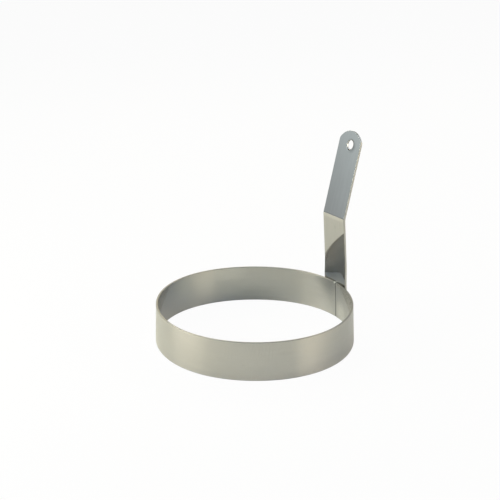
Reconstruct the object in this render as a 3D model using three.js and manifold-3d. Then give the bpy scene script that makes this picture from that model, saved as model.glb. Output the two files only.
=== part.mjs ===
// Egg ring: a rolled stainless band with an open butt seam, and a formed strip handle that is
// spot-welded over the seam. Millimetres, +Z up, the handle on the +X side.
import * as THREE from "three";
import { mergeVertices } from "three/addons/utils/BufferGeometryUtils.js";
import Module from "manifold-3d";

// Band: a strip rolled to a circle, ends butted
const RING_DIAMETER = 100; // outside, at half height, along the handle's line
const RING_WIDENING = 1.25; // the rolled ring is this much wider the other way
const BAND_HEIGHT = 19.3;
const BAND_FLARE = 0.7; // the lower edge's radius is this much more than the rim's
const BAND_THICKNESS = 1;
const BAND_EDGE_RADIUS = 0.25;
const SEAM_GAP = 0.4;
const SEAM_CORNER_RADIUS = 0.5;
const SEAM_OFFSET = 1.6; // from the handle's centreline, towards -Y

// Handle: a strip of sheet with a curved foot, a flat stem, one bend and a round tip
const HANDLE_WIDTH = 17.4;
const HANDLE_THICKNESS = 1.3;
const HANDLE_EDGE_RADIUS = 0.3;
const FOOT_CLEARANCE = 0.3; // between the foot and the outside of the band
const FOOT_RAISE = 1; // the foot stops this far above the band's lower edge
const FLATTEN_LENGTH = 9; // above the rim, where the foot's curve fades to the flat stem
const STEM_LENGTH = 35.7; // from the rim to the point of the bend
const GRIP_LENGTH = 44.5; // from the point of the bend to the tip
const BEND_ANGLE = THREE.MathUtils.degToRad(17.6); // outwards, from stem to grip
const BEND_RADIUS = 2.5; // on the hollow side of the bend
const HANDLE_SKEW = THREE.MathUtils.degToRad(2.1); // the strip is welded leaning towards +Y
const TIP_RADIUS_EXTRA = 1.8; // the tip's arc is this much flatter than a half circle
const TIP_CORNER_RADIUS = 2.4;

// Hang hole: punched from the ring side, so that side has a wide, shallow rolled-over lip
const HOLE_DIAMETER = 6.2;
const HOLE_FROM_TIP = 7.6;
const HOLE_OFFSET = 0.6; // from the handle's centreline, towards -Y
const HOLE_LIP_WIDTH = 1.45;
const HOLE_LIP_DEPTH = 0.3;

// Spot welds: lens-shaped nuggets between foot and band, with an electrode mark on the foot
const WELD_DIAMETER = 4;
const WELD_THICKNESS = 1.2;
const WELD_CLEARANCE = 0.1;
const WELD_SPACING_ACROSS = 9;
const WELD_SPACING_UP = 9.5;
const MARK_DIAMETER = 5;
const MARK_DEPTH = 0.15;
const MARK_SLOPE = 0.5;

// Looks of the bare steel
const BAND_LOOK = { color: 0xb4b2a4, roughness: 0.3 };
const HANDLE_LOOK = { color: 0xa9aca6, roughness: 0.18 };
const WELD_LOOK = { color: 0xa8a499, roughness: 0.4 };

// Fineness of the curved surfaces
const RING_STEPS = 180;
const EDGE_STEPS = 2;
const WIDTH_STEPS = 12;
const FOOT_STEPS = 4;
const FLATTEN_STEPS = 8;
const BEND_STEPS = 6;
const ROUND_STEPS = 32;
const WELD_STEPS = 24;
const LENS_STEPS = 5;
const CUT_MARGIN = 2; // how far a cutting shape stands out of what it cuts
const MERGE_DISTANCE = 1e-4; // points closer than this are one corner
const LEAST_CURVE = 1e-6; // share of the foot's curve left in the stem, so that its radius stays finite

const ringRadius = RING_DIAMETER / 2;
const widening = 1 + RING_WIDENING / RING_DIAMETER;
const footFace = ringRadius + FOOT_CLEARANCE; // the foot's ring-side face, from the ring's axis
const footRadius = ringRadius * widening ** 2 + FOOT_CLEARANCE; // the oval's own curve at the foot
const weldHeight = BAND_HEIGHT / 2;
const wallLean = Math.atan(BAND_FLARE / BAND_HEIGHT);
const gripAngle = BEND_ANGLE - wallLean;

// How much farther out the leaning wall is at a height than at the welds' middle.
const wallShift = (height) => (weldHeight - height) * Math.tan(wallLean);

const wasm = await Module();
wasm.setup();

const steel = (look) => new THREE.MeshStandardMaterial({ ...look, metalness: 1 });

// A closed geometry as a solid that can be cut and joined.
function solidOf(geometry) {
  const bare = new THREE.BufferGeometry();
  bare.setAttribute("position", geometry.getAttribute("position"));
  bare.setIndex(geometry.index);
  const merged = mergeVertices(bare, MERGE_DISTANCE);
  const vertProperties = merged.getAttribute("position").array;
  const triVerts = new Uint32Array(merged.index.array);
  return new wasm.Manifold(new wasm.Mesh({ numProp: 3, vertProperties, triVerts }));
}

function geometryOf(solid) {
  const { vertProperties, triVerts } = solid.getMesh();
  const geometry = new THREE.BufferGeometry();
  geometry.setAttribute("position", new THREE.BufferAttribute(vertProperties, 3));
  geometry.setIndex(new THREE.BufferAttribute(triVerts, 1));
  geometry.computeVertexNormals();
  return geometry;
}

function named(name, geometry, material) {
  const mesh = new THREE.Mesh(geometry, material);
  mesh.name = name;
  return mesh;
}

// A rectangle with rounded corners as points, anticlockwise from the lower left, with its two long
// faces split in steps.
function roundedRectangle(width, height, radius, widthSteps) {
  const corners = [
    [radius, radius, Math.PI],
    [width - radius, radius, 1.5 * Math.PI],
    [width - radius, height - radius, 0],
    [radius, height - radius, 0.5 * Math.PI],
  ];
  const points = [];
  corners.forEach(([x, y, start], corner) => {
    for (let i = 0; i <= EDGE_STEPS; i++) {
      const turn = start + (0.5 * Math.PI * i) / EDGE_STEPS;
      points.push(new THREE.Vector2(x + radius * Math.cos(turn), y + radius * Math.sin(turn)));
    }
    const last = points[points.length - 1];
    const ahead = corner === 0 ? 1 : -1;
    const splits = corner % 2 === 0 ? widthSteps : 1;
    for (let i = 1; i < splits; i++) {
      const along = (ahead * (width - 2 * radius) * i) / widthSteps;
      points.push(new THREE.Vector2(last.x + along, last.y));
    }
  });
  return points;
}

// The handle's formed shape

// The strip's own directions: along its length below the bend, and across its width.
const alongFoot = new THREE.Vector3(0, Math.sin(HANDLE_SKEW), Math.cos(HANDLE_SKEW));
const across = new THREE.Vector3(0, Math.cos(HANDLE_SKEW), -Math.sin(HANDLE_SKEW));
const outwards = new THREE.Vector3(1, 0, 0);

// The side view of the strip's ring-side face, as stations from the foot's end to past the tip:
// up is the distance along the foot from the welds' middle, out is the distance outwards.
// The foot and the stem lean inwards with the band's wall.
function sideProfile() {
  const stations = [];
  let up = (FOOT_RAISE - weldHeight) / Math.cos(HANDLE_SKEW);
  let out = wallShift(FOOT_RAISE);
  let angle = -wallLean;
  stations.push({ up, out, angle });
  const straight = (length, steps) => {
    for (let i = 0; i < steps; i++) {
      up += (length / steps) * Math.cos(angle);
      out += (length / steps) * Math.sin(angle);
      stations.push({ up, out, angle });
    }
  };
  const bend = (turn, radius, steps) => {
    const chord = 2 * radius * Math.sin(Math.abs(turn) / (2 * steps));
    for (let i = 0; i < steps; i++) {
      const middle = angle + turn / (2 * steps);
      up += chord * Math.cos(middle);
      out += chord * Math.sin(middle);
      angle += turn / steps;
      stations.push({ up, out, angle });
    }
  };
  const footLength = (BAND_HEIGHT - FOOT_RAISE) / (Math.cos(HANDLE_SKEW) * Math.cos(wallLean));
  const faceRadius = BEND_RADIUS + HANDLE_THICKNESS;
  const bendTangent = faceRadius * Math.tan(BEND_ANGLE / 2);
  straight(footLength, FOOT_STEPS);
  straight(FLATTEN_LENGTH, FLATTEN_STEPS);
  straight(STEM_LENGTH - FLATTEN_LENGTH - bendTangent, 1);
  bend(BEND_ANGLE, faceRadius, BEND_STEPS);
  straight(GRIP_LENGTH - bendTangent, 1);
  const tip = { up, out };
  straight(CUT_MARGIN, 1);
  return { stations, tip };
}

// Where the flat blank's point (offset across, station along, depth through the sheet) lies when formed:
// the foot is curved to the band, and the curve fades to flat above the rim.
function formed(station, offset, depth) {
  const sideways = offset * across.y + station.up * alongFoot.y;
  const height = weldHeight + offset * across.z + station.up * alongFoot.z;
  const fade = THREE.MathUtils.smoothstep(height, BAND_HEIGHT, BAND_HEIGHT + FLATTEN_LENGTH);
  const curvature = Math.max(1 - fade, LEAST_CURVE) / footRadius;
  const turn = sideways * curvature;
  const radial = new THREE.Vector3(Math.cos(turn), Math.sin(turn), 0);
  const normal = radial.multiplyScalar(Math.cos(station.angle));
  normal.addScaledVector(alongFoot, -Math.sin(station.angle));
  const drop = (1 - Math.cos(turn)) / curvature;
  const point = new THREE.Vector3(footFace + station.out - drop, Math.sin(turn) / curvature, height);
  return point.addScaledVector(normal, depth);
}

// A closed solid through rings of points that run along the strip, capped at both ends.
function loft(rings) {
  const count = rings[0].length;
  const position = rings.flat().flatMap((point) => point.toArray());
  const index = [];
  for (let ring = 0; ring + 1 < rings.length; ring++) {
    for (let i = 0; i < count; i++) {
      const a = ring * count + i;
      const b = ring * count + ((i + 1) % count);
      index.push(a, b + count, b, a, a + count, b + count);
    }
  }
  const capOf = (ring) => {
    const outline = ring.map((point) => new THREE.Vector2(point.dot(across), point.dot(outwards)));
    return THREE.ShapeUtils.triangulateShape(outline, []);
  };
  const last = rings.length - 1;
  capOf(rings[0]).forEach(([a, b, c]) => index.push(a, b, c));
  capOf(rings[last]).forEach((corners) => index.push(...corners.reverse().map((i) => last * count + i)));
  const geometry = new THREE.BufferGeometry();
  geometry.setAttribute("position", new THREE.Float32BufferAttribute(position, 3));
  geometry.setIndex(index);
  return geometry;
}

const { stations, tip } = sideProfile();

// The grip's flat frame: X across the strip, Y along it, Z outwards through it, origin at the tip.
const alongGrip = alongFoot.clone().multiplyScalar(Math.cos(gripAngle));
alongGrip.addScaledVector(outwards, Math.sin(gripAngle));
const throughGrip = new THREE.Vector3().crossVectors(across, alongGrip);
const tipPoint = formed({ up: tip.up, out: tip.out, angle: gripAngle }, 0, 0);
const gripFrame = new THREE.Matrix4().makeBasis(across, alongGrip, throughGrip).setPosition(tipPoint);

// What the rounded tip cuts off the end of the strip.
function tipTrim() {
  const half = HANDLE_WIDTH / 2;
  const tipRadius = half + TIP_RADIUS_EXTRA;
  const cornerX = half - TIP_CORNER_RADIUS;
  const cornerY = Math.sqrt((tipRadius - TIP_CORNER_RADIUS) ** 2 - cornerX ** 2) - tipRadius;
  const meet = Math.atan2(cornerY + tipRadius, cornerX);
  const side = half + CUT_MARGIN;
  const top = 2 * CUT_MARGIN;
  const outline = new THREE.Shape();
  outline.moveTo(side, cornerY);
  outline.lineTo(half, cornerY);
  outline.absarc(cornerX, cornerY, TIP_CORNER_RADIUS, 0, meet, false);
  outline.absarc(0, -tipRadius, tipRadius, meet, Math.PI - meet, false);
  outline.absarc(-cornerX, cornerY, TIP_CORNER_RADIUS, Math.PI - meet, Math.PI, false);
  outline.lineTo(-side, cornerY);
  outline.lineTo(-side, top);
  outline.lineTo(side, top);
  const depth = HANDLE_THICKNESS + 2 * CUT_MARGIN;
  const curveSegments = ROUND_STEPS / 2;
  const geometry = new THREE.ExtrudeGeometry(outline, { depth, bevelEnabled: false, curveSegments });
  return geometry.translate(0, 0, -CUT_MARGIN).applyMatrix4(gripFrame);
}

// The punch for the hang hole, with the rolled-over lip on the ring side.
function hangHolePunch() {
  const radius = HOLE_DIAMETER / 2;
  const outer = radius + HOLE_LIP_WIDTH;
  const profile = [new THREE.Vector2(0, -CUT_MARGIN), new THREE.Vector2(outer, -CUT_MARGIN)];
  for (let i = 0; i <= LENS_STEPS; i++) {
    const turn = (0.5 * Math.PI * i) / LENS_STEPS;
    const x = outer - HOLE_LIP_WIDTH * Math.sin(turn);
    profile.push(new THREE.Vector2(x, HOLE_LIP_DEPTH * (1 - Math.cos(turn))));
  }
  const beyond = HANDLE_THICKNESS + CUT_MARGIN;
  profile.push(new THREE.Vector2(radius, beyond), new THREE.Vector2(0, beyond));
  const geometry = new THREE.LatheGeometry(profile, ROUND_STEPS);
  const place = new THREE.Vector3(-HOLE_OFFSET, -HOLE_FROM_TIP, 0);
  return geometry.rotateX(Math.PI / 2).translate(place.x, place.y, place.z).applyMatrix4(gripFrame);
}

// Spot welds

// A lens round the Y axis, grown all over by a margin, with the foot's ring-side face at zero:
// the lens sits across the gap between foot and band.
function lens(margin) {
  const radius = WELD_DIAMETER / 2 + margin;
  const half = WELD_THICKNESS / 2 + margin;
  const profile = [];
  for (let i = 0; i <= 2 * LENS_STEPS; i++) {
    const turn = (0.5 * Math.PI * (i - LENS_STEPS)) / LENS_STEPS;
    const reach = i === 0 || i === 2 * LENS_STEPS ? 0 : radius * Math.cos(turn);
    profile.push(new THREE.Vector2(reach, half * Math.sin(turn) - FOOT_CLEARANCE / 2));
  }
  return new THREE.LatheGeometry(profile, WELD_STEPS);
}

// The mark that the electrode leaves on the outside of the foot, as the shape it presses away.
function electrodeMark() {
  const radius = MARK_DIAMETER / 2;
  const face = HANDLE_THICKNESS;
  const profile = [
    new THREE.Vector2(0, face - MARK_DEPTH),
    new THREE.Vector2(radius - MARK_SLOPE, face - MARK_DEPTH),
    new THREE.Vector2(radius, face),
    new THREE.Vector2(radius, face + CUT_MARGIN),
    new THREE.Vector2(0, face + CUT_MARGIN),
  ];
  return new THREE.LatheGeometry(profile, WELD_STEPS);
}

// The four weld places: turn is the angle round the ring from +X.
const weldPlaces = [-1, 1].flatMap((column) =>
  [-1, 1].map((row) => {
    const offset = (column * WELD_SPACING_ACROSS) / 2;
    const up = (row * WELD_SPACING_UP) / 2;
    const sideways = offset * across.y + up * alongFoot.y;
    const height = weldHeight + offset * across.z + up * alongFoot.z;
    return { turn: sideways / footRadius, height };
  }),
);

// Turns a shape made round the Y axis so that its axis points out of the leaning wall at a weld.
function weldFrame({ turn, height }) {
  const radial = new THREE.Vector3(Math.cos(turn), Math.sin(turn), 0);
  const axis = radial.clone().multiplyScalar(Math.cos(wallLean)).setZ(Math.sin(wallLean));
  const sideways = new THREE.Vector3(-Math.sin(turn), Math.cos(turn), 0);
  const upwards = new THREE.Vector3().crossVectors(axis, sideways);
  const place = radial.multiplyScalar(footRadius + wallShift(height)).setZ(height);
  place.x += footFace - footRadius;
  return new THREE.Matrix4().makeBasis(upwards, axis, sideways).setPosition(place);
}

const weldPocket = (place) => solidOf(lens(WELD_CLEARANCE).applyMatrix4(weldFrame(place)));

function spotWeld(place, number) {
  const mesh = named(`spot_weld_${number + 1}`, lens(0), steel(WELD_LOOK));
  mesh.applyMatrix4(weldFrame(place));
  return mesh;
}

// The band

// The slot of the butt seam, flared where the strip's corners are rounded.
function seamSlot() {
  const half = SEAM_GAP / 2;
  const flare = half + SEAM_CORNER_RADIUS;
  const low = SEAM_CORNER_RADIUS;
  const high = BAND_HEIGHT - SEAM_CORNER_RADIUS;
  const outline = new THREE.Shape();
  outline.moveTo(-flare, -CUT_MARGIN);
  outline.lineTo(flare, -CUT_MARGIN);
  outline.lineTo(flare, 0);
  outline.absarc(flare, low, SEAM_CORNER_RADIUS, 1.5 * Math.PI, Math.PI, true);
  outline.absarc(flare, high, SEAM_CORNER_RADIUS, Math.PI, 0.5 * Math.PI, true);
  outline.lineTo(flare, BAND_HEIGHT + CUT_MARGIN);
  outline.lineTo(-flare, BAND_HEIGHT + CUT_MARGIN);
  outline.lineTo(-flare, BAND_HEIGHT);
  outline.absarc(-flare, high, SEAM_CORNER_RADIUS, 0.5 * Math.PI, 0, true);
  outline.absarc(-flare, low, SEAM_CORNER_RADIUS, 0, -0.5 * Math.PI, true);
  const depth = BAND_THICKNESS + 2 * CUT_MARGIN;
  const curveSegments = LENS_STEPS;
  const geometry = new THREE.ExtrudeGeometry(outline, { depth, bevelEnabled: false, curveSegments });
  geometry.rotateX(Math.PI / 2).rotateZ(Math.PI / 2);
  geometry.translate(ringRadius - BAND_THICKNESS - CUT_MARGIN, 0, 0);
  return geometry.rotateZ(-SEAM_OFFSET / ringRadius);
}

function ringBand() {
  const section = roundedRectangle(BAND_THICKNESS, BAND_HEIGHT, BAND_EDGE_RADIUS, 1);
  const inside = ringRadius - BAND_THICKNESS;
  const profile = section.map(({ x, y }) => new THREE.Vector2(inside + x + wallShift(y), y));
  profile.push(profile[0].clone());
  const round = new THREE.LatheGeometry(profile, RING_STEPS).rotateX(Math.PI / 2);
  const ring = solidOf(round.scale(1, widening, 1));
  const cuts = [solidOf(seamSlot()), ...weldPlaces.map(weldPocket)];
  const solid = cuts.reduce((rest, cut) => rest.subtract(cut), ring);
  return named("ring_band", geometryOf(solid), steel(BAND_LOOK));
}

function handle() {
  const outline = roundedRectangle(HANDLE_WIDTH, HANDLE_THICKNESS, HANDLE_EDGE_RADIUS, WIDTH_STEPS);
  const ringAt = (station) => outline.map(({ x, y }) => formed(station, x - HANDLE_WIDTH / 2, y));
  const strip = solidOf(loft(stations.map(ringAt)));
  const marks = weldPlaces.map((place) => solidOf(electrodeMark().applyMatrix4(weldFrame(place))));
  const cuts = [solidOf(tipTrim()), solidOf(hangHolePunch()), ...marks, ...weldPlaces.map(weldPocket)];
  const solid = cuts.reduce((rest, cut) => rest.subtract(cut), strip);
  return named("handle", geometryOf(solid), steel(HANDLE_LOOK));
}

const model = new THREE.Group();
model.add(ringBand(), handle(), ...weldPlaces.map(spotWeld));

// The part's origin is the middle of the base of its bounding box.
const box = new THREE.Box3().setFromObject(model);
const middle = box.getCenter(new THREE.Vector3());
model.position.set(-middle.x, -middle.y, -box.min.z);
const eggRing = new THREE.Group();
eggRing.add(model);

export default eggRing;
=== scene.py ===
"""Egg ring of bare stainless sheet: the looks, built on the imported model's frame."""

import math

import bpy
import numpy as np
from mathutils import Matrix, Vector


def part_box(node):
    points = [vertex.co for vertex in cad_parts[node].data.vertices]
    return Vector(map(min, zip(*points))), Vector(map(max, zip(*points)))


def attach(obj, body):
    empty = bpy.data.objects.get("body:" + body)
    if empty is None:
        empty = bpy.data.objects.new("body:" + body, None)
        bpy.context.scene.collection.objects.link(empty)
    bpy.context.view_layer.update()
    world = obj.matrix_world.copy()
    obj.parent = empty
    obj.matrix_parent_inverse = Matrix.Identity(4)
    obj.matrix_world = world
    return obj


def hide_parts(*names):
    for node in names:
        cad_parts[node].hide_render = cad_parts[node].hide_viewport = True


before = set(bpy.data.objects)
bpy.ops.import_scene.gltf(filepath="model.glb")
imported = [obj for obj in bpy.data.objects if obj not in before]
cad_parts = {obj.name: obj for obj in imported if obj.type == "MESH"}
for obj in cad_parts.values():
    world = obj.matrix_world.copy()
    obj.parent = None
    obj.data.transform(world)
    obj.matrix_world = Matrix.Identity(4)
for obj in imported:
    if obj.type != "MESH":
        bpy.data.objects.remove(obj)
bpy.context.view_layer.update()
scene = bpy.context.scene

MM = 0.001

# Band, in millimetres: as in the CAD model, but wavy instead of oval, with a narrower seam nearer to
# the handle's centreline
RING_RADIUS = 50  # outside, at half height
RING_WIDENING = 1.25  # the CAD model's oval is this much wider across the handle's line
BAND_HEIGHT = 19.3
BAND_FLARE = 0.7  # the lower edge's radius is this much more than the rim's
BAND_THICKNESS = 1
BAND_EDGE_RADIUS = 0.25
SEAM_GAP = 0.25
SEAM_CORNER_RADIUS = 0.5
SEAM_OFFSET = 1.15  # from the handle's centreline, towards -Y
# Waves of the rolled ring: lobes round it, then cosine and sine shares of the radius
RING_WAVES = ((2, -0.0077, -0.0031), (3, 0.0058, 0.0011), (4, 0.0034, 0.0061))

# Handle, in millimetres: as in the CAD model, but wider and thinner, with a flatter foot, an easier
# bend, sharper edges and a smaller hole
HANDLE_WIDTH = 18
HANDLE_THICKNESS = 1.05
HANDLE_EDGE_RADIUS = 0.12
FOOT_CLEARANCE = 0.12  # from the foot to the outside of the band, before the band's waves
FOOT_CURVE = 0.6  # share of the band's curve that the foot takes
FOOT_RAISE = 1  # the foot stops this far above the band's lower edge
FOOT_CORNER_RADIUS = 0.6
FLATTEN_LENGTH = 12  # above the rim, where the foot's curve fades to the stem's
CROWN_RADIUS = 350  # the strip's inner face is rounded this little across, from blanking
STEM_LENGTH = 35.7  # from the rim to the point of the bend
GRIP_LENGTH = 44.5  # from the point of the bend to the tip
BEND_ANGLE = math.radians(17.6)
BEND_RADIUS = 4.5  # on the hollow side of the bend
HANDLE_SKEW = math.radians(2.1)  # the strip leans towards +Y
TIP_RADIUS_EXTRA = 1.8  # the tip's arc is this much flatter than a half circle
TIP_CORNER_RADIUS = 2.4
HOLE_DIAMETER = 4.8
HOLE_FROM_TIP = 6.95
HOLE_OFFSET = 0.5  # from the handle's centreline, towards -Y
HOLE_LIP_WIDTH = 1
HOLE_LIP_DEPTH = 0.45  # at its deepest
HOLE_LIP_SIDE = (-0.93, -0.37)  # across and along, where it is deepest
HOLE_LIP_LEAST = 0.05  # share of that depth on the other side
HOLE_LIP_SPREAD = (-0.5, 0.9)  # it deepens between these cosines of the angle to its deepest side
HOLE_BACK_RADIUS = 0.15
WELD_SPACING_ACROSS = 9
WELD_SPACING_UP = 9.5
MARK_DIAMETER = 5  # electrode marks on the outside of the foot
MARK_DEPTH = 0.15
MARK_SLOPE = 0.7

# Fineness of the meshes, spacings and lengths in millimetres
RING_STEPS = 480
HEIGHT_STEPS = 10
WIDTH_STEPS = 48
FOOT_SPACING = 0.4
FOOT_SPACING_EXTRA = 1.6  # the foot's spacing goes on this far past the end of its curve
STEM_SPACING = 2
BEND_STEPS = 16
EDGE_STEPS = 6
TIP_STEPS = 64
CORNER_STEPS = 10
SIDE_STEPS = 8
RADIAL_STEPS = 6
TIP_PATCH_LENGTH = 16  # of the grip's end, where the mesh runs round the hang hole
MERGE_DECIMALS = 3  # points with the same coordinates to so many decimals are one corner
SLOPE_STEP = 1e-3  # to each side, for the slopes that turn a flat skin's normals with the sheet

# Sheet faces: roughness runs between two values from grain line to grain line, and repeats of a
# pattern are in a metre across and along the strip
BAND_COLOUR = (0.61, 0.597, 0.564)
BAND_ROUGHNESS = (0.15, 0.31)
BAND_ANISOTROPY = 0.9
BAND_GRAIN = (20000, 1500)
HANDLE_COLOUR = (0.533, 0.528, 0.509)
HANDLE_ROUGHNESS = (0.025, 0.05)
HANDLE_ANISOTROPY = 0.5
HANDLE_GRAIN = (12000, 1500)
GRAIN_LEVELS = (0.42, 0.58)  # of the noise, between which the roughness changes
CLOUD_REPEATS = (150, 60)
CLOUD_LEVELS = (0.3, 0.7)
CLOUD_SHARES = (0.985, 1.015)  # of the colour
WAVE_DEPTH = 0.012  # millimetres, of the sheet's faint waviness, which follows the clouds
STREAK_REPEATS = (700, 25)
STREAK_LEVELS = (0.35, 0.65)
STREAK_SHARES = (0.988, 1.012)
LINE_DETAIL = 2  # of the noise in grain and streaks
CLOUD_DETAIL = 3  # of the noise in clouds, tears and heat

# Cut edges
RIM_COLOUR = (0.39, 0.386, 0.372)
RIM_ROUGHNESS = (0.46, 0.52)
SIDE_COLOUR = (0.45, 0.46, 0.45)
SIDE_ROUGHNESS = (0.42, 0.5)
TEAR_REPEATS = (1500, 1500)
TEAR_LEVELS = (0.35, 0.65)
TEAR_SHARES = (0.96, 1.03)
SEAM_PAINTED_SHADE_DEPTH = 0.18  # millimetres from the middle of the seam, where the cut ends get painted shade
SEAM_PAINTED_SHADE_CORE = 0.8  # share of that depth where the painted shade is darkest
SEAM_PAINTED_SHADE_SHARE = 0.12  # of the colour left there

# Weld metal
STRAW_COLOUR = (0.5, 0.46, 0.38)
BLUE_COLOUR = (0.36, 0.36, 0.4)
HEAT_REPEATS = (900, 900)
HEAT_LEVELS = (0.35, 0.65)
WELD_ROUGHNESS = (0.3, 0.5)
WELD_ROUGHNESS_LEVELS = (0.3, 0.7)

# Soft spots on the metal, in millimetres: along from the strip's start, across from its middle, half
# sizes along and across, and share of the colour kept. Most are painted shade and painted
# highlights, a few are real specks and smudges
BAND_SPOTS_AND_PAINTED_LIGHT = (
    # painted shade and painted highlights on the inside of the band, standing in for its reflections
    (307, 8.5, 11, 9.5, 0.74),
    (306, -6, 9, 7, 1.12),
    (5.5, -5, 7, 8, 1.25),
    (264, -7, 19, 8, 0.87),
    (248, 7, 13, 7, 1.14),
    # a small speck and two smudges on the front of the band
    (110.8, -1.8, 0.7, 0.5, 0.8),
    (90.8, 3.8, 5.5, 1.6, 0.955),
    (102, -4.6, 3.5, 1.2, 0.97),
    # a painted highlight beside the top of the seam
    (313, 9.3, 1, 1, 1.5),
)
RIM_PAINTED_HIGHLIGHT = ((313, 9.5, 1.1, 1.1, 2.4),)  # a painted highlight on the rim at the seam
HANDLE_SPOTS_AND_PAINTED_LIGHT = (
    # a small darker spot below the bend
    (48.5, -1.2, 1.6, 1.2, 0.93),
    # a painted highlight across the bend
    (53.4, 0, 1.3, 14, 1.13),
    # painted shade across the stem just above the rim
    (21.5, 3.5, 6, 8, 0.84),
)
HOLE_PAINTED_SHADE = (-0.7, -1.7, 4, 4, 0.55)  # from the hole's middle, painted shade beside it
HOLE_PAINTED_HIGHLIGHT = (0, 0, 6, 6, 1.3)  # painted highlight on the hole's wall
SPOT_CORE = 0.2  # share of a mark's half size that has its full effect

# Camera, matched to the photo
PHOTO_SIZE = 500  # pixels, square
FOCAL_PIXELS = 1256.12
SENSOR_WIDTH = 36  # millimetres
CAMERA_PLACE = (-313.3, -491.97, 261.82)  # millimetres
CAMERA_HEADING = math.atan2(0.79697, 0.49402)
CAMERA_PITCH = 0.3549
CAMERA_ROLL = -0.0046

# White paper that the ring stands on, in metres
SWEEP_WIDTH = 1.1
SWEEP_FRONT = 1.2
SWEEP_BACK = 2.5
FLOOR_COLOUR = (0.85, 0.84, 0.8)
FLOOR_WHITE = 0.96  # share of plain white in the floor where it is seen directly
MIRRORED_WHITE = 0.1  # share of plain white that the metal mirrors

# Room and glow, with heights in degrees above the horizon
ROOM_COLOUR = (0.22, 0.23, 0.24)
ROOM_FALL = (14, 32)  # where the room's walls darken
ROOM_TOP = 0.1  # share of their light left above that
GLOW_COLOUR = (1, 1.17, 1.21)
GLOW_AZIMUTH = 140  # degrees from the camera's right, as for the soft boxes
GLOW_SPREAD = (30, 45)  # degrees to each side, full and gone
GLOW_RISE = (-2, 8)  # where it grows from its first level to its second
GLOW_LEVELS = (0.165, 0.615)
GLOW_FALL = (9, 15)  # where it fades

# Soft boxes: azimuth from the camera's right, elevation, width and height in degrees as seen from
# the ring, distance in metres, and light as red, green and blue
SOFT_BOXES = {
    "left_back": (181, 22, 20, 8, 0.4, (22.5, 21.3, 18.8)),
    "left_front": (201, 22, 20, 8, 0.4, (14, 13.3, 11.8)),
    "left_upper": (191, 34, 40, 16, 0.4, (3.7, 3.2, 1.6)),
    "back": (105, 38, 50, 10, 0.6, (5.3, 4.6, 3.1)),
    "back_right": (33, 34, 54, 11, 0.85, (2.8, 2.85, 3)),
    "right_near": (331.5, 9, 27, 10, 0.4, (1.6, 1.25, 0.95)),
    "right_far": (325, 12.5, 26, 7, 0.85, (9.9, 8.9, 6.75)),
    "right_back": (352, 22, 28, 12, 0.85, (7.5, 6.5, 4.85)),
    "top_back": (120, 64, 100, 16, 0.85, (1.55, 1.8, 1.55)),
    "top_front": (240, 64, 100, 16, 0.85, (1.2, 1.8, 2.5)),
}

widening = 1 + RING_WIDENING / (2 * RING_RADIUS)
wall_lean = math.atan(BAND_FLARE / BAND_HEIGHT)
weld_height = BAND_HEIGHT / 2
band_length = 2 * math.pi * RING_RADIUS
foot_face = RING_RADIUS + FOOT_CLEARANCE
foot_radius = RING_RADIUS * widening**2 + FOOT_CLEARANCE
foot_start = (FOOT_RAISE - weld_height) / math.cos(HANDLE_SKEW)
foot_length = (BAND_HEIGHT - FOOT_RAISE) / (math.cos(HANDLE_SKEW) * math.cos(wall_lean))
face_radius = BEND_RADIUS + HANDLE_THICKNESS
bend_tangent = face_radius * math.tan(BEND_ANGLE / 2)
bend_start = foot_length + STEM_LENGTH - bend_tangent
bend_length = face_radius * BEND_ANGLE
strip_length = bend_start + bend_length + GRIP_LENGTH - bend_tangent
hole_across = -HOLE_OFFSET
hole_along = strip_length - HOLE_FROM_TIP
view_turn = Matrix.Rotation(CAMERA_HEADING - math.pi / 2, 4, "Z")

# The ring's axis in the frame's X, from the CAD band's box
band_low, band_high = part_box("ring_band")
ring_axis = (band_low.x + (band_high.y - band_low.y) / 2 / widening) / MM


def smooth(value, low, high):
    """A smooth step from 0 at low to 1 at high."""
    share = np.clip((value - low) / (high - low), 0, 1)
    return share * share * (3 - 2 * share)


def add_object(name, data):
    """A new object in the scene."""
    thing = bpy.data.objects.new(name, data)
    scene.collection.objects.link(thing)
    return thing


# Flat sheets as closed skins


class Skin:
    """A sheet's closed skin in blank coordinates: across, along, and depth from the inner face."""

    def __init__(self):
        self.points = []
        self.normals = []
        self.faces = []
        self.cut = []
        self.known = {}

    def corner(self, point, normal):
        """The number of a point, which is added if it is new."""
        key = tuple(np.round(point, MERGE_DECIMALS))
        if key not in self.known:
            self.known[key] = len(self.points)
            self.points.append(point)
            self.normals.append(normal)
        return self.known[key]

    def patch(self, points, normals, flipped=False, closed=False, cut_from=math.inf):
        """Adds a grid of points, cut metal from a column on. Fronts face rows x columns."""
        index = [[self.corner(p, n) for p, n in zip(*row)] for row in zip(points, normals)]
        if closed:
            index.append(index[0])
        for low, high in zip(index[:-1], index[1:]):
            for i in range(len(low) - 1):
                face = (low[i], high[i], high[i + 1], low[i + 1])
                self.faces.append(face[::-1] if flipped else face)
                self.cut.append(i >= cut_from)

    def both_faces(self, grid, thickness, closed=False):
        """Adds a grid of flat points on the sheet's inner and outer face."""
        for depth, side in ((0, -1), (thickness, 1)):
            points = np.dstack([grid, np.full(grid.shape[:2], depth)])
            normals = np.zeros_like(points)
            normals[..., 2] = side
            self.patch(points, normals, side > 0, closed)

    def edge(self, loop, outward, profile, flipped=False, cut_from=0):
        """Adds the closed edge that follows a profile: reach, depth, normal out, normal through."""
        count = len(loop)
        spread = [np.broadcast_to(part, (count, part.shape[-1])) for part in profile]
        reach, depth, out, through = spread
        flat = loop[:, None] + outward[:, None] * reach[..., None]
        points = np.dstack([flat, depth])
        normals = np.dstack([outward[:, None] * out[..., None], through])
        self.patch(points, normals, flipped, closed=True, cut_from=cut_from)


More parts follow.
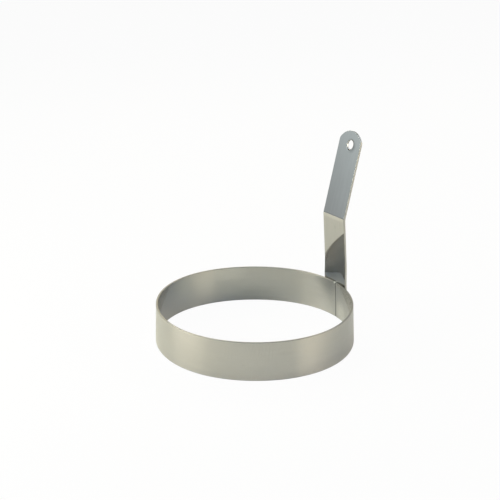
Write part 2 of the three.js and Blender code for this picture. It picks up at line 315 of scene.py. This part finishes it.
def quarter_turn():
    """Sines and cosines of the steps round an edge's corner."""
    turn = np.linspace(0, math.pi / 2, EDGE_STEPS + 1)
    return np.sin(turn), np.cos(turn)


def round_edge(radius, thickness):
    """An edge profile with both corners rounded, from the inner face to the outer."""
    sine, cosine = quarter_turn()
    reach = radius * np.concatenate([sine, cosine])
    depth = np.concatenate([radius * (1 - cosine), thickness - radius * (1 - sine)])
    return np.stack([reach, depth, np.concatenate([sine, cosine]), np.concatenate([-cosine, sine])])


def punched_edge(lip_depth):
    """The hang hole's edge profile: a rolled lip on the inner face, a small break on the outer."""
    sine, cosine = quarter_turn()
    lip_depth = lip_depth[:, None]
    slant = np.hypot(sine * lip_depth, cosine * HOLE_LIP_WIDTH)
    lip = [
        HOLE_LIP_WIDTH * sine,
        lip_depth * (1 - cosine),
        sine * lip_depth / slant,
        -cosine * HOLE_LIP_WIDTH / slant,
    ]
    back = [
        HOLE_LIP_WIDTH - HOLE_BACK_RADIUS * (1 - cosine),
        HANDLE_THICKNESS - HOLE_BACK_RADIUS * (1 - sine),
        cosine,
        sine,
    ]
    rest = [np.array([value]) for value in (0, HANDLE_THICKNESS, 0, 1)]
    count = len(lip_depth)
    return [
        np.hstack([np.broadcast_to(piece, (count, piece.shape[-1])) for piece in pieces])
        for pieces in zip(lip, back, rest)
    ]


def corner_stations(start, radius):
    """A rounded corner at a strip's start: places along, losses of half width, normals' lean."""
    turn = np.linspace(0, math.pi / 2, CORNER_STEPS + 1)[:-1]
    return start + radius * (1 - np.cos(turn)), radius * (1 - np.sin(turn)), turn - math.pi / 2


def strip_grid(along, half, steps):
    """Flat points in rows across a strip, at places along it with their half widths."""
    share = np.linspace(-1, 1, steps + 1)
    across = half[:, None] * share
    return np.dstack([across, np.broadcast_to(along[:, None], across.shape)])


def side_loop(along, half, lean):
    """The right-hand edge of a strip, from its start: points and outward normals."""
    return np.stack([half, along], 1), np.stack([np.cos(lean), np.sin(lean)], 1)


def mirrored(points):
    """The same points or normals on the left-hand side, run the other way."""
    return points[::-1] * np.array([-1, 1])


def level(points, direction):
    """An edge straight across a strip, with one normal all along."""
    return points, np.tile(np.array([0.0, direction]), (len(points), 1))


def mesh_object(name, skin, form):
    """Forms a flat skin to an object, with its true normals, and blank coordinates as UVs."""
    flat = np.array(skin.points)
    flat_normals = np.array(skin.normals)
    steps = SLOPE_STEP * np.eye(3)
    slopes = [(form(flat + step) - form(flat - step)) / (2 * SLOPE_STEP) for step in steps]
    normals = np.zeros_like(flat)
    for i in range(3):
        normals += np.cross(slopes[(i + 1) % 3], slopes[(i + 2) % 3]) * flat_normals[:, i, None]
    normals /= np.linalg.norm(normals, axis=1)[:, None]
    points = (form(flat) + np.array([ring_axis, 0, 0])) * MM
    mesh = bpy.data.meshes.new(name)
    mesh.from_pydata(points.tolist(), [], skin.faces)
    mesh.shade_smooth()
    mesh.polygons.foreach_set("material_index", np.array(skin.cut, np.int32))
    mesh.normals_split_custom_set_from_vertices(normals.tolist())
    corners = np.zeros(len(mesh.loops), np.int32)
    mesh.loops.foreach_get("vertex_index", corners)
    blank = mesh.uv_layers.new(name="blank")
    blank.data.foreach_set("uv", (flat[corners, :2] * MM).astype(np.float32).ravel())
    return add_object(name, mesh)


# The band


def form_band(points):
    """Rolls the band's strip: across is up from half height, along runs clockwise from the seam."""
    across, along, depth = points.T
    turn = -(SEAM_OFFSET + along) / RING_RADIUS
    waves = sum(c * np.cos(n * turn) + s * np.sin(n * turn) for n, c, s in RING_WAVES)
    radius = RING_RADIUS * (1 + waves) - across * math.tan(wall_lean) - BAND_THICKNESS + depth
    return np.stack([radius * np.cos(turn), radius * np.sin(turn), weld_height + across], 1)


def band_skin():
    """The band's flat strip, with rounded corners at both ends."""
    skin = Skin()
    inset = BAND_EDGE_RADIUS
    corner = SEAM_CORNER_RADIUS - inset
    first = SEAM_GAP / 2 + inset
    along, loss, lean = corner_stations(first, corner)
    middle = np.linspace(first + corner, band_length - first - corner, RING_STEPS + 1)
    along = np.concatenate([along, middle, band_length - along[::-1]])
    half = BAND_HEIGHT / 2 - inset - np.concatenate([loss, np.zeros_like(middle), loss[::-1]])
    lean = np.concatenate([lean, np.zeros_like(middle), -lean[::-1]])
    grid = strip_grid(along, half, HEIGHT_STEPS)
    skin.both_faces(grid, BAND_THICKNESS)
    side, side_out = side_loop(along, half, lean)
    start, start_out = level(grid[0, 1:-1], -1)
    end, end_out = level(grid[-1, 1:-1][::-1], 1)
    loop = np.concatenate([start, side, end, mirrored(side)])
    outward = np.concatenate([start_out, side_out, end_out, mirrored(side_out)])
    skin.edge(loop, outward, round_edge(inset, BAND_THICKNESS))
    return skin


# The handle


def form_handle(points):
    """Forms the handle's blank: a foot curved like the band, a nearly flat stem, a bend, a grip."""
    across, along, depth = points.T
    before = np.minimum(along, bend_start)
    within = np.clip(along - bend_start, 0, bend_length)
    after = np.maximum(along - bend_start - bend_length, 0)
    angle = within / face_radius - wall_lean
    up = foot_start + before * math.cos(wall_lean)
    up = up + face_radius * (np.sin(angle) + math.sin(wall_lean)) + after * np.cos(angle)
    out = (weld_height - FOOT_RAISE) * math.tan(wall_lean) - before * math.sin(wall_lean)
    out = out + face_radius * (math.cos(wall_lean) - np.cos(angle)) + after * np.sin(angle)
    depth = depth * (1 - weld_marks(across, up) / HANDLE_THICKNESS)
    sideways = across * math.cos(HANDLE_SKEW) + up * math.sin(HANDLE_SKEW)
    height = weld_height - across * math.sin(HANDLE_SKEW) + up * math.cos(HANDLE_SKEW)
    fade = smooth(height, BAND_HEIGHT, BAND_HEIGHT + FLATTEN_LENGTH)
    turn = sideways * ((1 - fade) * FOOT_CURVE / foot_radius - fade / CROWN_RADIUS)
    sink = sideways * turn / 2 * np.sinc(turn / (2 * math.pi)) ** 2
    normal = np.stack([
        np.cos(angle) * np.cos(turn),
        np.cos(angle) * np.sin(turn) - np.sin(angle) * math.sin(HANDLE_SKEW),
        -np.sin(angle) * math.cos(HANDLE_SKEW),
    ], 1)
    place = np.stack([foot_face + out - sink, sideways * np.sinc(turn / math.pi), height], 1)
    return place + normal * depth[:, None]


def weld_marks(across, up):
    """How deep the four electrode marks are pressed into the outside of the foot."""
    beside = np.abs(across) - WELD_SPACING_ACROSS / 2
    above = np.abs(up) - WELD_SPACING_UP / 2
    return MARK_DEPTH * smooth(MARK_DIAMETER / 2 - np.hypot(beside, above), 0, MARK_SLOPE)


def arc(middle, radius, start, end, steps):
    """Points and outward normals on an arc."""
    turn = np.linspace(start, end, steps + 1)
    outward = np.stack([np.cos(turn), np.sin(turn)], 1)
    return np.array(middle) + radius * outward, outward


def tip_loop(start, inset):
    """The right half of the grip's end, from the tip patch's start to the middle of the tip."""
    half = HANDLE_WIDTH / 2
    tip_radius = half + TIP_RADIUS_EXTRA
    corner_x = half - TIP_CORNER_RADIUS
    rise = math.sqrt((tip_radius - TIP_CORNER_RADIUS) ** 2 - corner_x**2)
    tip_middle = (0, strip_length - tip_radius)
    corner_middle = (corner_x, tip_middle[1] + rise)
    meet = math.atan2(rise, corner_x)
    along = np.linspace(start, corner_middle[1], SIDE_STEPS + 1)[:-1]
    side, side_out = side_loop(along, np.full_like(along, half - inset), np.zeros_like(along))
    corner, corner_out = arc(corner_middle, TIP_CORNER_RADIUS - inset, 0, meet, CORNER_STEPS)
    tip, tip_out = arc(tip_middle, tip_radius - inset, meet, math.pi / 2, TIP_STEPS // 2)
    loop = np.concatenate([side, corner[:-1], tip])
    return loop, np.concatenate([side_out, corner_out[:-1], tip_out])


def handle_stations(start, end):
    """Places along the strip, close together where it is curved."""
    flat_start = foot_length + FLATTEN_LENGTH + FOOT_SPACING_EXTRA
    stretches = [
        (start, flat_start, FOOT_SPACING),
        (flat_start, bend_start, STEM_SPACING),
        (bend_start, bend_start + bend_length, bend_length / BEND_STEPS),
        (bend_start + bend_length, end, STEM_SPACING),
    ]
    parts = []
    for low, high, spacing in stretches:
        count = max(1, round((high - low) / spacing))
        parts.append(np.linspace(low, high, count + 1)[:-1])
    return np.concatenate([*parts, [end]])


def handle_skin():
    """The handle's flat blank: a strip of rows across, and a tip patch that runs round the hole."""
    skin = Skin()
    inset = HANDLE_EDGE_RADIUS
    tip_start = strip_length - TIP_PATCH_LENGTH
    corner = FOOT_CORNER_RADIUS - inset
    along, loss, lean = corner_stations(inset, corner)
    rest = handle_stations(inset + corner, tip_start)
    along = np.concatenate([along, rest])
    half = HANDLE_WIDTH / 2 - inset - np.concatenate([loss, np.zeros_like(rest)])
    lean = np.concatenate([lean, np.zeros_like(rest)])
    grid = strip_grid(along, half, WIDTH_STEPS)
    skin.both_faces(grid, HANDLE_THICKNESS)

    right, right_out = tip_loop(tip_start, inset)
    tip = np.concatenate([right, mirrored(right)[1:]])
    tip_out = np.concatenate([right_out, mirrored(right_out)[1:]])
    round_hole = np.concatenate([tip, grid[-1, 1:-1]])
    hole_middle = np.array([hole_across, hole_along])
    rays = round_hole - hole_middle
    rays = rays / np.linalg.norm(rays, axis=1)[:, None]
    hole = hole_middle + rays * (HOLE_DIAMETER / 2 + HOLE_LIP_WIDTH)
    steps = np.linspace(0, 1, RADIAL_STEPS + 1)[None, :, None]
    fan = hole[:, None] * (1 - steps) + round_hole[:, None] * steps
    skin.both_faces(fan, HANDLE_THICKNESS, closed=True)
    deepening = smooth(rays @ np.array(HOLE_LIP_SIDE), *HOLE_LIP_SPREAD)
    lip_depth = HOLE_LIP_DEPTH * (HOLE_LIP_LEAST + (1 - HOLE_LIP_LEAST) * deepening)
    skin.edge(hole, -rays, punched_edge(lip_depth), flipped=True, cut_from=EDGE_STEPS - 1)

    side, side_out = side_loop(along[:-1], half[:-1], lean[:-1])
    foot, foot_out = level(grid[0, 1:-1], -1)
    loop = np.concatenate([foot, side, tip, mirrored(side)])
    outward = np.concatenate([foot_out, side_out, tip_out, mirrored(side_out)])
    skin.edge(loop, outward, round_edge(inset, HANDLE_THICKNESS))
    return skin


# Materials


def new_node(tree, kind, **settings):
    """A new node with its settings."""
    node = tree.nodes.new(kind)
    for name, value in settings.items():
        setattr(node, name, value)
    return node


def noise(tree, place, repeats, detail):
    """Noise with so many repeats in a metre across and along."""
    mapping = new_node(tree, "ShaderNodeMapping")
    mapping.inputs["Scale"].default_value = (*repeats, 1)
    tree.links.new(place, mapping.inputs["Vector"])
    texture = new_node(tree, "ShaderNodeTexNoise")
    texture.inputs["Scale"].default_value = 1
    texture.inputs["Detail"].default_value = detail
    tree.links.new(mapping.outputs[0], texture.inputs["Vector"])
    return texture.outputs["Fac"]


def ramp(tree, value, low, high, start, end):
    """A smooth step of a value from low to high, between two end values."""
    node = new_node(tree, "ShaderNodeMapRange", interpolation_type="SMOOTHSTEP")
    limits = {"From Min": low, "From Max": high, "To Min": start, "To Max": end}
    for socket, number in limits.items():
        node.inputs[socket].default_value = number
    tree.links.new(value, node.inputs["Value"])
    return node.outputs["Result"]


def product(tree, first, second):
    """Two values multiplied."""
    node = new_node(tree, "ShaderNodeMath", operation="MULTIPLY")
    tree.links.new(first, node.inputs[0])
    tree.links.new(second, node.inputs[1])
    return node.outputs[0]


def scaled_colour(tree, colour, share):
    """A colour times a share that varies."""
    node = new_node(tree, "ShaderNodeVectorMath", operation="SCALE")
    node.inputs[0].default_value = colour
    tree.links.new(share, node.inputs["Scale"])
    return node.outputs[0]


def mark(tree, place, along, across, half_along, half_across, kept):
    """A soft spot on the sheet, as a share of the colour kept; used for specks and smudges and for
    painted shade and painted highlights.
    """
    mapping = new_node(tree, "ShaderNodeMapping")
    scale = (1 / (half_across * MM), 1 / (half_along * MM), 1)
    mapping.inputs["Scale"].default_value = scale
    mapping.inputs["Location"].default_value = (-across / half_across, -along / half_along, 0)
    tree.links.new(place, mapping.inputs["Vector"])
    reach = new_node(tree, "ShaderNodeVectorMath", operation="LENGTH")
    tree.links.new(mapping.outputs[0], reach.inputs[0])
    return ramp(tree, reach.outputs["Value"], SPOT_CORE, 1, kept, 1)


def marked(tree, share, place, marks):
    """A share of the colour with soft spots laid over it: specks, smudges, painted shade and painted
    highlights.
    """
    for spot in marks:
        share = product(tree, share, mark(tree, place, *spot))
    return share


def at_hole(spot):
    """A painted-light spot that is given from the hang hole's middle."""
    along, across, *rest = spot
    return hole_along + along, hole_across + across, *rest


def new_metal(name):
    """A new metal: its material, node tree and shader."""
    material = bpy.data.materials.new(name)
    material.use_nodes = True
    tree = material.node_tree
    shader = tree.nodes["Principled BSDF"]
    shader.inputs["Metallic"].default_value = 1
    return material, tree, shader


def blank_place(tree):
    """The place on the flat blank, across and along, in metres."""
    return new_node(tree, "ShaderNodeUVMap", uv_map="blank").outputs["UV"]


def object_place(tree):
    """The place in the object's own space, in metres."""
    return new_node(tree, "ShaderNodeTexCoord").outputs["Object"]


def steel(name, colour, roughness, anisotropy, grain, marks):
    """Bare sheet: grain lines along the strip, faint waves, clouds and streaks, and soft spots of
    painted shade and painted highlight, with a few real specks and smudges.
    """
    material, tree, shader = new_metal(name)
    shader.inputs["Anisotropic"].default_value = anisotropy
    tangent = new_node(tree, "ShaderNodeTangent", direction_type="UV_MAP", uv_map="blank")
    tree.links.new(tangent.outputs[0], shader.inputs["Tangent"])
    place = blank_place(tree)
    lines = noise(tree, place, grain, LINE_DETAIL)
    tree.links.new(ramp(tree, lines, *GRAIN_LEVELS, *roughness), shader.inputs["Roughness"])
    clouds = noise(tree, place, CLOUD_REPEATS, CLOUD_DETAIL)
    waves = new_node(tree, "ShaderNodeBump")
    waves.inputs["Strength"].default_value = 1
    waves.inputs["Distance"].default_value = WAVE_DEPTH * MM
    tree.links.new(clouds, waves.inputs["Height"])
    tree.links.new(waves.outputs["Normal"], shader.inputs["Normal"])
    streaks = noise(tree, place, STREAK_REPEATS, LINE_DETAIL)
    cloud_share = ramp(tree, clouds, *CLOUD_LEVELS, *CLOUD_SHARES)
    streak_share = ramp(tree, streaks, *STREAK_LEVELS, *STREAK_SHARES)
    share = marked(tree, product(tree, cloud_share, streak_share), place, marks)
    tree.links.new(scaled_colour(tree, colour, share), shader.inputs["Base Color"])
    return material


def cut_edge(name, colour, roughness, marks, seam_length=None):
    """A sheared or punched edge: torn unevenly, with painted highlights, and painted shade where two
    ends meet in a seam.
    """
    material, tree, shader = new_metal(name)
    tear = noise(tree, object_place(tree), TEAR_REPEATS, CLOUD_DETAIL)
    tree.links.new(ramp(tree, tear, *TEAR_LEVELS, *roughness), shader.inputs["Roughness"])
    place = blank_place(tree)
    share = marked(tree, ramp(tree, tear, *TEAR_LEVELS, *TEAR_SHARES), place, marks)
    # painted shade on the cut ends in the seam's gap
    if seam_length:
        along = new_node(tree, "ShaderNodeSeparateXYZ")
        tree.links.new(place, along.inputs[0])
        from_seam = new_node(tree, "ShaderNodeMath", operation="PINGPONG")
        from_seam.inputs[1].default_value = seam_length / 2 * MM
        tree.links.new(along.outputs["Y"], from_seam.inputs[0])
        depth = SEAM_PAINTED_SHADE_DEPTH * MM
        seam_painted_shade = ramp(tree, from_seam.outputs[0], SEAM_PAINTED_SHADE_CORE * depth, depth, SEAM_PAINTED_SHADE_SHARE, 1)
        share = product(tree, share, seam_painted_shade)
    tree.links.new(scaled_colour(tree, colour, share), shader.inputs["Base Color"])
    return material


def weld_metal():
    """Fused metal: dull, uneven, straw and blue with heat."""
    material, tree, shader = new_metal("weld_metal_fused")
    blotch = noise(tree, object_place(tree), HEAT_REPEATS, CLOUD_DETAIL)
    heat = new_node(tree, "ShaderNodeMix", data_type="RGBA")
    heat.inputs["A"].default_value = (*STRAW_COLOUR, 1)
    heat.inputs["B"].default_value = (*BLUE_COLOUR, 1)
    tree.links.new(ramp(tree, blotch, *HEAT_LEVELS, 0, 1), heat.inputs["Factor"])
    tree.links.new(heat.outputs["Result"], shader.inputs["Base Color"])
    dullness = ramp(tree, blotch, *WELD_ROUGHNESS_LEVELS, *WELD_ROUGHNESS)
    tree.links.new(dullness, shader.inputs["Roughness"])
    return material


# The ring's pieces

band = mesh_object("band_sheet", band_skin(), form_band)
handle = mesh_object("handle_sheet", handle_skin(), form_handle)

band_face = (BAND_COLOUR, BAND_ROUGHNESS, BAND_ANISOTROPY, BAND_GRAIN, BAND_SPOTS_AND_PAINTED_LIGHT)
band.data.materials.append(steel("band_steel_satin", *band_face))
# the rim's cut edge: painted shade at the seam and a painted highlight beside it
band.data.materials.append(cut_edge("band_cut", RIM_COLOUR, RIM_ROUGHNESS, RIM_PAINTED_HIGHLIGHT, band_length))

# soft spots on the handle's sheet, mostly painted shade and highlights, and painted shade beside the
# hang hole
handle_spots_and_painted_light = (*HANDLE_SPOTS_AND_PAINTED_LIGHT, at_hole(HOLE_PAINTED_SHADE))
handle_face = (HANDLE_COLOUR, HANDLE_ROUGHNESS, HANDLE_ANISOTROPY, HANDLE_GRAIN, handle_spots_and_painted_light)
# painted highlight on the hang hole's wall
hole_painted_highlight = [at_hole(HOLE_PAINTED_HIGHLIGHT)]
handle.data.materials.append(steel("handle_steel_bright", *handle_face))
handle.data.materials.append(cut_edge("handle_cut", SIDE_COLOUR, SIDE_ROUGHNESS, hole_painted_highlight))

weld_steel = weld_metal()
for name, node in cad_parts.items():
    if name.startswith("spot_weld"):
        node.data.materials.clear()
        node.data.materials.append(weld_steel)

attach(band, "root")
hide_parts("ring_band")
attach(handle, "root")
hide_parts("handle")


# Stage: camera, floor, world and lamps


def add_camera():
    """The photo's camera."""
    data = bpy.data.cameras.new("camera")
    data.sensor_width = SENSOR_WIDTH
    data.lens = FOCAL_PIXELS / PHOTO_SIZE * SENSOR_WIDTH
    camera = add_object("camera", data)
    place = Matrix.Translation([value * MM for value in CAMERA_PLACE])
    tilt = Matrix.Rotation(math.pi / 2 - CAMERA_PITCH, 4, "X")
    roll = Matrix.Rotation(CAMERA_ROLL, 4, "Z")
    camera.matrix_world = place @ view_turn @ tilt @ roll
    scene.camera = camera


def white_share(tree, seen):
    """How much plain white stands in for a backdrop: seen directly, through glass or mirrored."""
    path = new_node(tree, "ShaderNodeLightPath")
    total = None
    rays = {"Is Camera Ray": seen, "Is Transmission Ray": seen, "Is Glossy Ray": MIRRORED_WHITE}
    for ray, share in rays.items():
        part = new_node(tree, "ShaderNodeMath", operation="MULTIPLY_ADD")
        part.inputs[1].default_value = share
        part.inputs[2].default_value = 0
        tree.links.new(path.outputs[ray], part.inputs[0])
        if total:
            tree.links.new(total, part.inputs[2])
        total = part.outputs[0]
    return total


def show(tree, output, lit, white, seen):
    """Ends a tree with what is lit, and plain white instead where it is seen."""
    mix = new_node(tree, "ShaderNodeMixShader")
    tree.links.new(white_share(tree, seen), mix.inputs[0])
    tree.links.new(lit.outputs[0], mix.inputs[1])
    tree.links.new(white.outputs[0], mix.inputs[2])
    tree.links.new(mix.outputs[0], new_node(tree, output).inputs["Surface"])


def add_floor():
    """The white paper, square to the camera."""
    mesh = bpy.data.meshes.new("floor")
    half = SWEEP_WIDTH / 2
    front = [(-half, -SWEEP_FRONT, 0), (half, -SWEEP_FRONT, 0)]
    back = [(half, SWEEP_BACK, 0), (-half, SWEEP_BACK, 0)]
    mesh.from_pydata(front + back, [], [(0, 1, 2, 3)])
    floor = add_object("floor", mesh)
    floor.matrix_world = view_turn
    material = bpy.data.materials.new("pale_floor")
    material.use_nodes = True
    tree = material.node_tree
    tree.nodes.clear()
    lit = new_node(tree, "ShaderNodeBsdfDiffuse")
    lit.inputs["Color"].default_value = (*FLOOR_COLOUR, 1)
    white = new_node(tree, "ShaderNodeEmission")
    show(tree, "ShaderNodeOutputMaterial", lit, white, FLOOR_WHITE)
    mesh.materials.append(material)


def sines(angles):
    """Heights on a ball of radius 1, of angles in degrees above the horizon."""
    return [math.sin(math.radians(angle)) for angle in angles]


def background(tree, colour):
    """A sky of one colour."""
    node = new_node(tree, "ShaderNodeBackground")
    node.inputs["Color"].default_value = (*colour, 1)
    return node


def add_world():
    """A dim room, darker high up, with a bluish glow low at the back left, but seen as white."""
    world = bpy.data.worlds.new("studio")
    scene.world = world
    world.use_nodes = True
    tree = world.node_tree
    tree.nodes.clear()
    direction = new_node(tree, "ShaderNodeTexCoord").outputs["Generated"]
    parts = new_node(tree, "ShaderNodeSeparateXYZ")
    tree.links.new(direction, parts.inputs[0])
    height = parts.outputs["Z"]
    room = background(tree, ROOM_COLOUR)
    tree.links.new(ramp(tree, height, *sines(ROOM_FALL), 1, ROOM_TOP), room.inputs["Strength"])

    glow = background(tree, GLOW_COLOUR)
    turn = CAMERA_HEADING - math.pi / 2 + math.radians(GLOW_AZIMUTH)
    facing = new_node(tree, "ShaderNodeVectorMath", operation="DOT_PRODUCT")
    facing.inputs[1].default_value = (math.cos(turn), math.sin(turn), 0)
    tree.links.new(direction, facing.inputs[0])
    full, gone = [math.cos(math.radians(angle)) for angle in GLOW_SPREAD]
    across = ramp(tree, facing.outputs["Value"], gone, full, 0, 1)
    rise = ramp(tree, height, *sines(GLOW_RISE), *GLOW_LEVELS)
    fall = ramp(tree, height, *sines(GLOW_FALL), 1, 0)
    strength = product(tree, product(tree, rise, fall), across)
    tree.links.new(strength, glow.inputs["Strength"])

    both = new_node(tree, "ShaderNodeAddShader")
    tree.links.new(room.outputs[0], both.inputs[0])
    tree.links.new(glow.outputs[0], both.inputs[1])
    show(tree, "ShaderNodeOutputWorld", both, background(tree, (1, 1, 1)), 1)


def add_lamp(name, azimuth, elevation, wide, tall, distance, light):
    """A soft box that faces the ring."""
    data = bpy.data.lights.new(name, "AREA")
    data.shape = "RECTANGLE"
    flat_width = 2 * distance * math.tan(math.radians(wide / 2))
    data.size = flat_width * math.cos(math.radians(elevation))
    data.size_y = 2 * distance * math.tan(math.radians(tall / 2))
    radiance = max(light)
    data.energy = radiance * math.pi * data.size * data.size_y
    data.color = [value / radiance for value in light]
    turn = Matrix.Rotation(CAMERA_HEADING + math.radians(azimuth), 4, "Z")
    tilt = Matrix.Rotation(math.radians(90 - elevation), 4, "X")
    add_object(name, data).matrix_world = turn @ tilt @ Matrix.Translation((0, 0, distance))


scene.view_settings.view_transform = "Standard"
add_camera()
add_floor()
add_world()
for name, box in SOFT_BOXES.items():
    add_lamp(name, *box)
